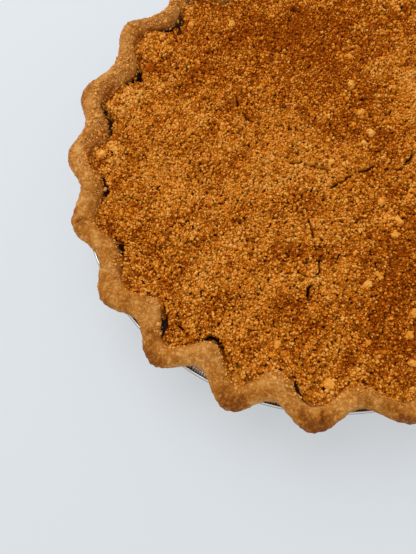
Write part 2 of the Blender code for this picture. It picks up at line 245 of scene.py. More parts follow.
class CrumbSettings(bpy.types.PropertyGroup):
    """Sizes and colours of the crumb top and its crumbs."""

    top: length_setting("Top", "Height of the crumb top at the rim above the table", 34.6 * MM)
    crown: length_setting("Crown", "How much higher the middle of the top is", 0.9 * MM)
    clump: length_setting("Clumps", "How far the crumb stands up in clumps", 0.7 * MM)
    heap: length_setting("Heaps", "How far the heaps of coarse crumbs stand up", 1.5 * MM)
    crack_depth: length_setting("Crack depth", "Depth of the cracks", 3.0 * MM)
    spacing: length_setting("Spacing", "Mean distance between the fine crumbs", 0.95 * MM)
    smallest: length_setting("Smallest", "Smallest fine crumb", 0.65 * MM)
    largest: length_setting("Largest", "Largest fine crumb", 2.8 * MM)
    seed: IntProperty(name="Seed", description="Seed of the crumbs' places", default=21)
    light: colour_setting("Light", "Palest crumbs", (0.92, 0.44, 0.08))
    golden: colour_setting("Golden", "Most of the crumbs", (0.82, 0.27, 0.015))
    brown: colour_setting("Brown", "Well baked crumbs", (0.40, 0.078, 0.002))
    # Painted shade: the colour mixed in down in the cracks, pits, gaps and pores of the crumb top
    dark: colour_setting("Dark", "The crumb down in cracks and gaps", (0.024, 0.005, 0.002))


class StageSettings(bpy.types.PropertyGroup):
    """The floor, the light and the camera."""

    floor: colour_setting("Floor", "Colour of the plain floor", (0.375, 0.40, 0.419))
    glow: FloatProperty(
        name="Glow", description="Light that the floor gives by itself, which softens shadows",
        default=0.37)
    sky: colour_setting("Fill light", "Colour of the light from all round", (0.90, 0.95, 1.0))
    sky_strength: FloatProperty(
        name="Fill strength", description="Strength of the light from all round", default=0.72)
    key_power: FloatProperty(
        name="Key power", description="Power of the large soft light",
        default=5.6, unit="POWER")
    key_size: length_setting("Key size", "Side of the large soft light", 0.9)
    key_place: FloatVectorProperty(
        name="Key light", description="Place of the large soft light",
        default=(-0.40, 0.51, 0.84), subtype="TRANSLATION", unit="LENGTH")
    lens: FloatProperty(
        name="Lens", description="Focal length on a frame 36 mm along its longer side",
        default=27.03, subtype="DISTANCE_CAMERA")
    camera_place: FloatVectorProperty(
        name="Camera", description="Place of the camera",
        default=(-0.0441, -0.1062, 0.2239), subtype="TRANSLATION", unit="LENGTH")
    camera_pitch: FloatProperty(
        name="Pitch", description="How far the camera looks ahead from straight down",
        default=math.radians(13.44), subtype="ANGLE")
    camera_roll: FloatProperty(
        name="Lean", description="How far the camera leans to its side",
        default=math.radians(3.24), subtype="ANGLE")


def deselect_all():
    for item in bpy.context.selected_objects:
        item.select_set(False)


def make_active(item):
    deselect_all()
    item.select_set(True)
    bpy.context.view_layer.objects.active = item


def points_of(item):
    """All points of a mesh, as rows of x, y and z."""
    places = np.empty(len(item.data.vertices) * 3, np.float32)
    item.data.vertices.foreach_get("co", places)
    return places.reshape(-1, 3).astype(float)


def move_points(item, places):
    item.data.vertices.foreach_set("co", places.astype(np.float32).ravel())
    item.data.update()


def store_values(item, name, values):
    """Keeps one number for each point, under a name that the materials read."""
    layer = item.data.attributes.get(name) or item.data.attributes.new(name, "FLOAT", "POINT")
    layer.data.foreach_set("value", np.asarray(values, np.float32))


def values_of(item, name):
    values = np.empty(len(item.data.vertices), np.float32)
    item.data.attributes[name].data.foreach_get("value", values)
    return values.astype(float)


def apply_modifier(item, modifier):
    make_active(item)
    bpy.ops.object.modifier_apply(modifier=modifier.name)


def roughen(item, name, kind, size, height, share, direction="NORMAL"):
    """Displaces a piece by a texture of that grain size. share is how much each point moves."""
    levels, cell_contrast = 10, 1.3
    group = item.vertex_groups.new(name=name)
    for level in range(1, levels + 1):
        chosen = np.flatnonzero(np.round(share * levels) == level).tolist()
        group.add(chosen, level / levels, "REPLACE")
    texture = bpy.data.textures.new(name, kind)
    texture.noise_scale = size
    if kind == "VORONOI":
        texture.noise_intensity = cell_contrast
    modifier = item.modifiers.new(name, "DISPLACE")
    modifier.texture = texture
    modifier.texture_coords = "LOCAL"
    modifier.direction = direction
    modifier.strength = height
    modifier.mid_level = 0.5
    modifier.vertex_group = name
    apply_modifier(item, modifier)
    item.vertex_groups.remove(item.vertex_groups[name])


def smoothly(values, low, high):
    """0 below low, 1 above high, and an even ease between."""
    share = np.clip((values - low) / (high - low), 0.0, 1.0)
    return share * share * (3.0 - 2.0 * share)


def soft_noise(places, size):
    """Soft noise from -1 to 1 with lumps of about that size, for each row of places."""
    return np.array([noise.noise(Vector(row)) for row in (places / size)])


def flat_rows(x, y, level=0.0):
    """Places in a level plane, as rows for soft_noise. Another level gives another pattern."""
    return np.column_stack((x, y, np.full(len(x), level)))


def degrees_from(angles, at):
    """How far each angle lies from one given in degrees, from -180 to 180 degrees."""
    return (np.degrees(angles) - at + 180.0) % 360.0 - 180.0


def lay_round(places, radius, angles):
    """Moves places to a radius along each angle. Their heights stay."""
    places[:, 0] = radius * np.cos(angles)
    places[:, 1] = radius * np.sin(angles)


def finish_piece(item, node, material):
    item.data.materials.clear()
    item.data.materials.append(material)
    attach(item, BODY)
    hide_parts(node)


def new_group(name, inputs, outputs):
    """An empty node group with named sockets, and its two end nodes."""
    group = bpy.data.node_groups.new(name, "ShaderNodeTree")
    for label, kind, value in inputs:
        socket = group.interface.new_socket(name=label, in_out="INPUT", socket_type=kind)
        socket.default_value = value
    for label, kind in outputs:
        group.interface.new_socket(name=label, in_out="OUTPUT", socket_type=kind)
    return group, group.nodes.new("NodeGroupInput"), group.nodes.new("NodeGroupOutput")


def noise_node(nodes, links, place, scale, detail, roughness):
    made = nodes.new("ShaderNodeTexNoise")
    made.inputs["Detail"].default_value = detail
    made.inputs["Roughness"].default_value = roughness
    links.new(place, made.inputs["Vector"])
    links.new(scale, made.inputs["Scale"])
    return made.outputs["Fac"]


def plug(links, value, socket):
    """Links another socket into this one, or sets a plain value on it."""
    if isinstance(value, bpy.types.NodeSocket):
        links.new(value, socket)
    else:
        socket.default_value = value


def math_node(nodes, links, operation, *values, clamp=False):
    made = nodes.new("ShaderNodeMath")
    made.operation = operation
    made.use_clamp = clamp
    for socket, value in zip(made.inputs, values):
        plug(links, value, socket)
    return made.outputs["Value"]


def mix_node(nodes, links, share, first, second):
    made = nodes.new("ShaderNodeMix")
    made.data_type = "RGBA"
    links.new(share, made.inputs["Factor"])
    plug(links, first, made.inputs["A"])
    plug(links, second, made.inputs["B"])
    return made.outputs["Result"]


def mottle_group():
    """Baked mottle: soft light and dark patches with fine specks, from 0 to 1."""
    found = bpy.data.node_groups.get("Baked mottle")
    if found:
        return found
    group, start, end = new_group(
        "Baked mottle",
        (("Patch scale", "NodeSocketFloat", 120.0), ("Speck scale", "NodeSocketFloat", 700.0),
         ("Speck share", "NodeSocketFloat", 0.4)),
        (("Mask", "NodeSocketFloat"), ("Specks", "NodeSocketFloat")))
    nodes, links = group.nodes, group.links
    place = nodes.new("ShaderNodeTexCoord").outputs["Object"]
    patches = noise_node(nodes, links, place, start.outputs["Patch scale"], 3.0, 0.55)
    specks = noise_node(nodes, links, place, start.outputs["Speck scale"], 4.0, 0.65)
    mixed = nodes.new("ShaderNodeMix")
    links.new(start.outputs["Speck share"], mixed.inputs["Factor"])
    links.new(patches, mixed.inputs["A"])
    links.new(specks, mixed.inputs["B"])
    links.new(mixed.outputs["Result"], end.inputs["Mask"])
    links.new(specks, end.inputs["Specks"])
    return group


def tone_group():
    """Three baked colours from pale to brown by a tone from 0 to 1, then painted shade: a dark
    colour mixed in by its own input.
    """
    found = bpy.data.node_groups.get("Baked tones and painted shade")
    if found:
        return found
    white = (1.0, 1.0, 1.0, 1.0)
    group, start, end = new_group(
        "Baked tones and painted shade",
        (("Tone", "NodeSocketFloat", 0.5), ("Depth", "NodeSocketFloat", 0.0),
         ("Pale", "NodeSocketColor", white), ("Golden", "NodeSocketColor", white),
         ("Brown", "NodeSocketColor", white), ("Dark", "NodeSocketColor", white)),
        (("Color", "NodeSocketColor"),))
    nodes, links = group.nodes, group.links
    sockets = start.outputs
    low = math_node(nodes, links, "MULTIPLY", sockets["Tone"], 2.0, clamp=True)
    above = math_node(nodes, links, "SUBTRACT", sockets["Tone"], 0.5)
    high = math_node(nodes, links, "MULTIPLY", above, 2.0, clamp=True)
    lighter = mix_node(nodes, links, low, sockets["Pale"], sockets["Golden"])
    baked = mix_node(nodes, links, high, lighter, sockets["Brown"])
    links.new(mix_node(nodes, links, sockets["Depth"], baked, sockets["Dark"]),
              end.inputs["Color"])
    return group


def place_group(material, group, **values):
    made = material.node_tree.nodes.new("ShaderNodeGroup")
    made.node_tree = group
    for label, value in values.items():
        made.inputs[label.replace("_", " ")].default_value = value
    return made


def new_material(name, roughness, specular):
    material = bpy.data.materials.new(name)
    material.use_nodes = True
    shader = material.node_tree.nodes["Principled BSDF"]
    shader.inputs["Roughness"].default_value = roughness
    shader.inputs["Specular IOR Level"].default_value = specular
    return material, shader


def opaque(colour):
    return (*colour, 1.0)


def attribute_value(material, name):
    made = material.node_tree.nodes.new("ShaderNodeAttribute")
    made.attribute_name = name
    return made.outputs["Fac"]


def add_bump(material, shader, height, distance, strength):
    made = material.node_tree.nodes.new("ShaderNodeBump")
    made.inputs["Distance"].default_value = distance
    made.inputs["Strength"].default_value = strength
    material.node_tree.links.new(height, made.inputs["Height"])
    material.node_tree.links.new(made.outputs["Normal"], shader.inputs["Normal"])


def lay_tones(material, shader, value, spread, colours):
    """Colours a material from pale to brown by a value kept on the mesh, plus a spread; the depth
    kept on the mesh mixes in the dark colour as painted shade.
    """
    nodes, links = material.node_tree.nodes, material.node_tree.links
    tone = math_node(nodes, links, "ADD", attribute_value(material, value), spread, clamp=True)
    pale, golden, brown, dark = (opaque(colour) for colour in colours)
    tones = place_group(material, tone_group(), Pale=pale, Golden=golden, Brown=brown, Dark=dark)
    links.new(tone, tones.inputs["Tone"])
    links.new(attribute_value(material, "depth"), tones.inputs["Depth"])
    links.new(tones.outputs["Color"], shader.inputs["Base Color"])


def foil_material(settings):
    material, shader = new_material("bright foil", roughness=0.2, specular=0.5)
    nodes, links = material.node_tree.nodes, material.node_tree.links
    # The shade kept on the mesh mixes painted shade and painted reflection into the foil's colour
    shaded = mix_node(nodes, links, attribute_value(material, "shade"),
                      opaque(settings.colour), opaque(settings.shade))
    links.new(shaded, shader.inputs["Base Color"])
    shader.inputs["Metallic"].default_value = 0.65
    mottle = place_group(material, mottle_group(), Patch_scale=260.0, Speck_scale=1500.0,
                         Speck_share=0.5)
    add_bump(material, shader, mottle.outputs["Mask"], 0.25 * MM, 0.6)
    return material


def pastry_material(settings):
    """Baked pastry, with light flecks where its specks are highest."""
    material, shader = new_material("baked pastry", roughness=0.48, specular=0.12)
    nodes, links = material.node_tree.nodes, material.node_tree.links
    mottle = place_group(material, mottle_group(), Patch_scale=260.0, Speck_scale=680.0,
                         Speck_share=0.7)
    spread = math_node(nodes, links, "MULTIPLY_ADD", mottle.outputs["Mask"], 3.8, -1.93)
    flecks = math_node(nodes, links, "MULTIPLY_ADD", mottle.outputs["Specks"], 10.0, -5.6,
                       clamp=True)
    spread = math_node(nodes, links, "MULTIPLY_ADD", flecks, -0.7, spread)
    lay_tones(material, shader, "toast", spread,
              (settings.pale, settings.golden, settings.brown, settings.dark))
    add_bump(material, shader, mottle.outputs["Specks"], 1.1 * MM, 0.9)
    return material


def crumb_colours(settings):
    return settings.light, settings.golden, settings.brown, settings.dark


def crumb_material(name, colours, shift):
    """Dry baked crumb, in three colours from pale to brown and a dark one for painted shade. shift
    makes the whole kind darker.
    """
    material, shader = new_material(name, roughness=0.85, specular=0.03)
    nodes, links = material.node_tree.nodes, material.node_tree.links
    mottle = place_group(material, mottle_group(), Patch_scale=420.0, Speck_scale=1300.0,
                         Speck_share=0.5)
    spread = math_node(nodes, links, "MULTIPLY_ADD", mottle.outputs["Mask"], 1.4, shift - 0.7)
    lay_tones(material, shader, "tone", spread, colours)
    add_bump(material, shader, mottle.outputs["Specks"], 0.3 * MM, 0.7)
    return material


def draw_out_rings(segments, rings):
    """A circle, drawn out to each further ring by extruding its open edge. Rings are radius
    and height."""
    deselect_all()
    radius, height = rings[0]
    bpy.ops.mesh.primitive_circle_add(vertices=segments, radius=radius, enter_editmode=True)
    bpy.ops.mesh.select_all(action="SELECT")
    bpy.ops.transform.translate(value=(0.0, 0.0, height))
    for after_radius, after_height in rings[1:]:
        bpy.ops.mesh.extrude_edges_move()
        bpy.ops.transform.translate(value=(0.0, 0.0, after_height - height))
        share = after_radius / radius
        bpy.ops.transform.resize(value=(share, share, 1.0), center_override=(0, 0, after_height))
        radius, height = after_radius, after_height
    bpy.ops.object.mode_set(mode="OBJECT")
    return bpy.context.object


def select_ring(item, ring, segments):
    chosen = np.zeros(len(item.data.vertices), bool)
    chosen[ring * segments:(ring + 1) * segments] = True
    item.data.vertices.foreach_set("select", chosen)
    edges = np.empty(len(item.data.edges) * 2, np.int32)
    item.data.edges.foreach_get("vertices", edges)
    item.data.edges.foreach_set("select", chosen[edges.reshape(-1, 2)].all(axis=1))
    item.data.polygons.foreach_set("select", np.zeros(len(item.data.polygons), bool))


def close_ends(item, segments, last):
    """Closes the first and the last ring by drawing each one in to a point."""
    for ring in (0, last):
        select_ring(item, ring, segments)
        bpy.ops.object.mode_set(mode="EDIT")
        bpy.ops.mesh.extrude_edges_move()
        bpy.ops.mesh.merge(type="CENTER")
        bpy.ops.object.mode_set(mode="OBJECT")


def face_outwards(item):
    make_active(item)
    bpy.ops.object.mode_set(mode="EDIT")
    bpy.ops.mesh.select_all(action="SELECT")
    bpy.ops.mesh.normals_make_consistent(inside=False)
    bpy.ops.object.mode_set(mode="OBJECT")


def all_flutes():
    """The left flutes, then evenly spaced ones of like size round the rest of the rim."""
    draw = random.Random(FLUTE_SEED)
    flutes = list(LEFT_FLUTES)
    last = LEFT_FLUTES[-1][0]
    missing = FLUTES - len(LEFT_FLUTES)
    spacing = (LEFT_FLUTES[0][0] + 360.0 - last) / (missing + 1)
    for i in range(1, missing + 1):
        angle = last + spacing * i + draw.uniform(-1.0, 1.0)
        sizes = [mean + draw.uniform(-FLUTE_SPREAD, FLUTE_SPREAD) for mean in MEAN_FLUTE]
        flutes.append((angle, *sizes))
    return np.array(flutes)


def rim_plan(angles):
    """Along each angle: 1 at a flute's tip to -1 in a valley, and the rim's inside and outside
    radius."""
    table = all_flutes()
    first = table[0, 0]
    turned = (np.degrees(angles) - first) % 360.0 + first
    index = np.searchsorted(table[:, 0], turned, side="right") - 1
    following = (index + 1) % FLUTES
    start = table[index, 0]
    width = (table[following, 0] - start) % 360.0
    share = (turned - start) / width
    wave = np.cos(2.0 * np.pi * share)
    near = np.where(share < 0.5, index, following)
    outward = 0.5 + 0.5 * wave
    outer = table[index, 3] + (table[near, 1] - table[index, 3]) * outward
    inner = table[index, 4] + (table[near, 2] - table[index, 4]) * outward
    return wave, inner * MM, outer * MM


def tin_wall_radius(height):
    """Inside radius of the tin's sloping wall."""
    share = (height - FOIL) / (FLANGE_HEIGHT - FOIL)
    return TIN_BASE_RADIUS - FOIL + (TIN_MOUTH_RADIUS - TIN_BASE_RADIUS) * share


def crust_profile(angles, crest):
    """Radius and height of the pastry's 14 rings along each angle: floor and wall inside, pocket,
    rim from the inside over the crest to the underside, then wall and floor against the tin."""
    wave, inner, outer = rim_plan(angles)
    width = outer - inner
    sag = TIP_SAG * wave
    tuck = (1.4 + 0.8 * wave) * MM
    beyond = inner - NARROWEST_BULGE
    floor = FOIL + GAP
    foot, low, high = floor + 2.0 * PASTRY, floor + 0.8 * MM, 25.5 * MM
    even = np.ones_like(angles)
    rings = (
        ((tin_wall_radius(foot) - 12.0 * MM) * even, (floor + PASTRY) * even),
        ((tin_wall_radius(foot) - TIN_CLEARANCE - LINING) * even, foot * even),
        ((tin_wall_radius(high) - TIN_CLEARANCE - LINING) * even, high * even),
        (NARROWEST_BULGE - 0.5 * MM + 0.5 * beyond, POCKET_FLOOR + 0.15 * beyond),
        (inner, FILL_LINE - 0.4 * MM * wave),
        (inner + 0.09 * width, FILL_LINE + 3.6 * MM * even),
        (inner + 0.40 * width, crest - 0.7 * sag),
        (inner + 0.85 * width, crest - 1.1 * MM - sag),
        (outer, crest - 4.4 * MM - sag),
        (outer - tuck, (UNDERSIDE + 1.7 * MM) * even),
        (UNDERSIDE_RADIUS * even, UNDERSIDE * even),
        ((TIN_MOUTH_RADIUS - 1.2 * MM) * even, UNDERSIDE * even),
        ((tin_wall_radius(low) - TIN_CLEARANCE) * even, low * even),
        ((tin_wall_radius(low) - 2.0 * MM) * even, floor * even),
    )
    return np.array([r for r, _ in rings]), np.array([z for _, z in rings])


def along_rings(values, ring):
    """values holds a row for each ring. Reads it between the rings: on a smooth curve over the
    rim, and straight elsewhere."""
    last = len(values) - 1
    index = np.clip(np.floor(ring).astype(int), 0, last - 1)
    share = ring - index
    column = np.arange(values.shape[1])
    before = values[np.clip(index - 1, 0, last), column]
    start = values[index, column]
    end = values[index + 1, column]
    after = values[np.clip(index + 2, 0, last), column]
    straight = start + (end - start) * share
    curve = start + 0.5 * share * (
        end - before + share * (2.0 * before - 5.0 * start + 4.0 * end - after
                                + share * (3.0 * (start - end) + after - before)))
    is_round = (index >= FIRST_ROUND_RING) & (index < LAST_ROUND_RING)
    return np.where(is_round, curve, straight)


def edge_gap(angles):
    """How far the crumb top stands back from the pastry at each angle."""
    gap = np.full(len(angles), LEAST_GAP)
    for at, half_width, depth in EDGE_GAPS:
        away = degrees_from(angles, at)
        gap += np.where(np.abs(away) < half_width,
                        depth * (0.5 + 0.5 * np.cos(np.pi * away / half_width)), 0.0)
    return gap * MM


def torn_gap(x, y, angles):
    """The same gap with ragged sides, bridged here and there: how far from the pastry it
    starts, where crumbs cling to the pastry, and where it ends."""
    gap = edge_gap(angles)
    start = (0.5 + 1.8 * soft_noise(flat_rows(x, y, 0.09), 5.0 * MM)) * MM
    start -= 1.6 * MM * smoothly(gap, 1.2 * MM, 2.4 * MM)
    ragged = 1.2 * soft_noise(flat_rows(x, y, 0.06), 3.4 * MM)
    ragged += 0.9 * soft_noise(flat_rows(x, y, 0.07), 1.4 * MM)
    return start, np.maximum(start, 0.0) + gap * (0.95 + ragged)


def pores(x, y):
    """1 in the small holes between the crumbs down to 0 beside them."""
    return smoothly(soft_noise(flat_rows(x, y, 0.11), 1.2 * MM), 0.22, 0.42)


def crumb_base(x, y, settings):
    """Height of the crumb top before its cracks and grain, as in the solid."""
    height = settings.top + settings.crown * (1.0 - (x * x + y * y) / NARROWEST_BULGE**2)
    for length, lift in LUMPS:
        height = height + lift * soft_noise(flat_rows(x, y, length), length)
    return height


def along_and_across(x, y, turn):
    """Places measured along a direction and across it. turn is in degrees from +X."""
    cosine, sine = math.cos(math.radians(turn)), math.sin(math.radians(turn))
    return x * cosine + y * sine, y * cosine - x * sine


def crack_distance(x, y):
    """Distance to the nearest crack. Its line wanders, and closes up here and there."""
    rows = flat_rows(x, y)
    wander_x = 1.3 * MM * soft_noise(rows, 4.0 * MM)
    wander_y = 1.3 * MM * soft_noise(flat_rows(x, y, 0.05), 4.0 * MM)
    nearest = np.full(len(x), 1.0)
    for points in CRACKS:
        line = np.array(points) * MM
        for start, end in zip(line, line[1:]):
            run = end - start
            share = ((x - start[0]) * run[0] + (y - start[1]) * run[1]) / (run @ run)
            share = np.clip(share, 0.0, 1.0)
            away = np.hypot(x + wander_x - start[0] - share * run[0],
                            y + wander_y - start[1] - share * run[1])
            nearest = np.minimum(nearest, away)
    closed = smoothly(soft_noise(flat_rows(x, y, 0.1), 5.0 * MM), 0.1, 0.3)
    return nearest + 1.2 * MM * closed


def spot_share(x, y, spots, core, raggedness, grain):
    """1 in the core of a spot down to 0 at its ragged side. core is a share of its radius, and
    the side is ragged in lumps as wide as the grain."""
    share = np.zeros(len(x))
    ragged = 1.0 + raggedness * soft_noise(flat_rows(x, y), grain)
    for px, py, radius in spots:
        away = np.hypot(x - px * MM, y - py * MM) * ragged
        share = np.maximum(share, 1.0 - smoothly(away, core * radius * MM, radius * MM))
    return share


def pit_share(x, y):
    return spot_share(x, y, PITS, core=0.4, raggedness=0.5, grain=2.0 * MM)


def heap_share(x, y):
    return spot_share(x, y, HEAPS, core=0.5, raggedness=0.9, grain=5.0 * MM)


def clumps(x, y):
    """How the crumb stands up in clumps, from about -1 to 1."""
    return (0.9 * soft_noise(flat_rows(x, y, 0.02), 4.6 * MM)
            + 0.7 * soft_noise(flat_rows(x, y, 0.03), 2.3 * MM))


def baked_tone(x, y):
    """Broad tone of the crumb top at each place: 0 pale, 0.5 golden, 1 brown."""
    rows = flat_rows(x, y)
    tone = 0.40 + 0.18 * soft_noise(rows, 30.0 * MM) + 0.2 * soft_noise(rows, 11.0 * MM)
    along, across = along_and_across(x, y, RIPPLE_TURN)
    tone = tone + 0.3 * soft_noise(flat_rows(along / 3.0, across, 0.005), 8.0 * MM)
    tone = tone - 0.3 * clumps(x, y) - 0.3 * heap_share(x, y)
    for px, py, reach_along, reach_across, turn, darker in BLOTCHES:
        near_along, near_across = along_and_across(x - px * MM, y - py * MM, turn)
        spot = (near_along / (reach_along * MM))**2 + (near_across / (reach_across * MM))**2
        tone = tone + darker * np.exp(-spot)
    return tone


class PIE_OT_stage(bpy.types.Operator):
    """Lay the plain floor and set the soft light and the camera"""

    bl_idname = "pie.stage"
    bl_label = "Stage"

    def execute(self, context):
        settings = context.scene.pie_stage
        deselect_all()
        bpy.ops.mesh.primitive_plane_add(size=6.0)
        floor = context.object
        floor.name = "floor"
        material, shader = new_material("pale floor", roughness=0.9, specular=0.1)
        shader.inputs["Base Color"].default_value = opaque(settings.floor)
        shader.inputs["Emission Color"].default_value = (1.0, 1.0, 1.0, 1.0)
        shader.inputs["Emission Strength"].default_value = settings.glow
        floor.data.materials.append(material)
        bpy.ops.object.light_add(type="AREA", location=settings.key_place)
        light = context.object
        light.name = "key"
        light.rotation_euler = Vector(settings.key_place).to_track_quat("Z", "Y").to_euler()
        light.data.size = settings.key_size
        light.data.energy = settings.key_power
        world = bpy.data.worlds.new("soft fill")
        context.scene.world = world
        world.use_nodes = True
        background = world.node_tree.nodes["Background"]
        background.inputs["Color"].default_value = opaque(settings.sky)
        background.inputs["Strength"].default_value = settings.sky_strength
        bpy.ops.object.camera_add(location=settings.camera_place)
        camera = context.object
        camera.rotation_mode = "YXZ"
        camera.rotation_euler = (settings.camera_pitch, settings.camera_roll, 0.0)
        camera.data.lens = settings.lens
        camera.data.sensor_width = 36.0
        camera.data.clip_start = 1.0 * MM
        context.scene.camera = camera
        context.scene.view_settings.view_transform = "Standard"
        return {"FINISHED"}


class PIE_OT_foil_tin(bpy.types.Operator):
    """Model the pressed foil tin with its pleated wall, flange and rolled edge"""

    bl_idname = "pie.foil_tin"
    bl_label = "Foil tin"

    # The flat of the base begins this far inside the foot of the wall
    FLAT_INSET = 14.0 * MM

    # Points of the edge's roll, its first one and the step to the next in degrees, and the two
    # points between which it keeps the bare foil's colour; the points before and after carry
    # painted shade
    ROLL_POINTS, ROLL_START, ROLL_STEP = 11, -100.0, 34.0
    FIRST_BRIGHT, LAST_BRIGHT = 5, 6

    def execute(self, context):
        settings = context.scene.pie_tin
        segments = 4 * settings.pleats
        rings = self.profile(settings)
        tin = draw_out_rings(segments, [(radius, height) for radius, height, *_ in rings])
        close_ends(tin, segments, len(rings) - 1)
        tin.name = tin.data.name = "tin_foil"
        self.pleat(tin, settings, rings, segments)
        face_outwards(tin)
        bpy.ops.object.shade_smooth_by_angle(angle=math.radians(40.0))
        finish_piece(tin, "foil_tin", foil_material(settings))
        return {"FINISHED"}

    def profile(self, settings):
        """Radius, height, how much each ring is pleated in and out and up and down, and how much
        painted shade it carries."""
        bead, rim, mouth = settings.bead, settings.rim_radius, TIN_MOUTH_RADIUS
        bead_radius, bead_height = rim - bead, settings.height - bead
        base, level = TIN_BASE_RADIUS, FLANGE_HEIGHT - FOIL
        flat = base - self.FLAT_INSET
        outside = [(flat, 0.0, 0.0, 0.0, 0.0), (base, 0.0, 0.0, 0.0, 0.0)]
        for share in (0.12, 0.5, 0.85, 1.0):
            radius = base + (mouth - base) * share
            outside.append((radius, level * share, min(1.0, 4.0 * share), 0.0, 0.0))
        outside.append((bead_radius - 1.6 * bead, level, 0.0, 0.7, 0.6))
        rolled = []
        for step in range(self.ROLL_POINTS):
            angle = math.radians(self.ROLL_START + self.ROLL_STEP * step)
            # Painted shade on the roll's outer underside and on its inner side towards the groove
            dark = 1.0 if step > self.LAST_BRIGHT else 0.9 if step < self.FIRST_BRIGHT else 0.0
            rolled.append((bead_radius + bead * math.cos(angle),
                           bead_height + bead * math.sin(angle), 0.0, 0.12, dark))
        # The groove behind the rolled edge and the flange's edge next to it carry full painted
        # shade
        groove = bead_radius - 1.3 * bead
        inside = [
            (groove, FLANGE_HEIGHT - 0.9 * MM, 0.0, 0.3, 1.0),
            (groove - 0.35 * MM, FLANGE_HEIGHT - 0.6 * MM, 0.0, 0.7, 1.0),
            (groove - 0.5 * MM, FLANGE_HEIGHT, 0.0, 1.0, 0.0),
            (mouth + 2.6 * MM, FLANGE_HEIGHT, 0.0, 1.0, 0.0),
            (mouth - FOIL, FLANGE_HEIGHT, 1.0, 0.5, 0.0),
            (base - FOIL, FOIL, 0.0, 0.0, 0.0),
            (flat, FOIL, 0.0, 0.0, 0.0),
        ]
        return outside + rolled + inside

    def pleat(self, tin, settings, rings, segments):
        """Presses the fine uneven pleats into the wall and flange, and dents the bead. Keeps the
        painted shade: the rings' own, dark folds on the flange and painted reflection in streaks.
        """
        places = points_of(tin)
        count = len(rings) * segments
        ring = np.arange(count) // segments
        x, y = places[:count, 0], places[:count, 1]
        angles = np.arctan2(y, x)
        radii = np.hypot(x, y)
        around = np.column_stack((np.cos(angles), np.sin(angles), np.zeros(count)))
        uneven = 0.75 + 0.5 * soft_noise(around, 0.02)
        drift = 1.6 * soft_noise(around, 0.05)
        fold = np.sin(settings.pleats * angles + drift) * uneven
        broad = 0.5 * soft_noise(around, 0.06)
        _, _, sideways, upwards, dark = np.array(rings)[ring].T
        shift = settings.pleat_depth * (fold + broad)
        lay_round(places[:count], radii + shift * sideways, angles)
        places[:count, 2] += shift * upwards
        move_points(tin, places)
        shade = np.zeros(len(places))
        shade[:count] = dark
        # Painted shade down in the flange's folds
        shade[:count] += smoothly(upwards, 0.4, 0.9) * smoothly(-fold - broad, 0.25, 0.6)
        # Streaks of painted reflection down the wall
        reflection_streaks = soft_noise(around, 0.03) + soft_noise(around, 0.012)
        shade[:count] += sideways * (0.1 + 0.3 * smoothly(reflection_streaks, 0.0, 0.6))
        store_values(tin, "shade", np.clip(shade, 0.0, 1.0))


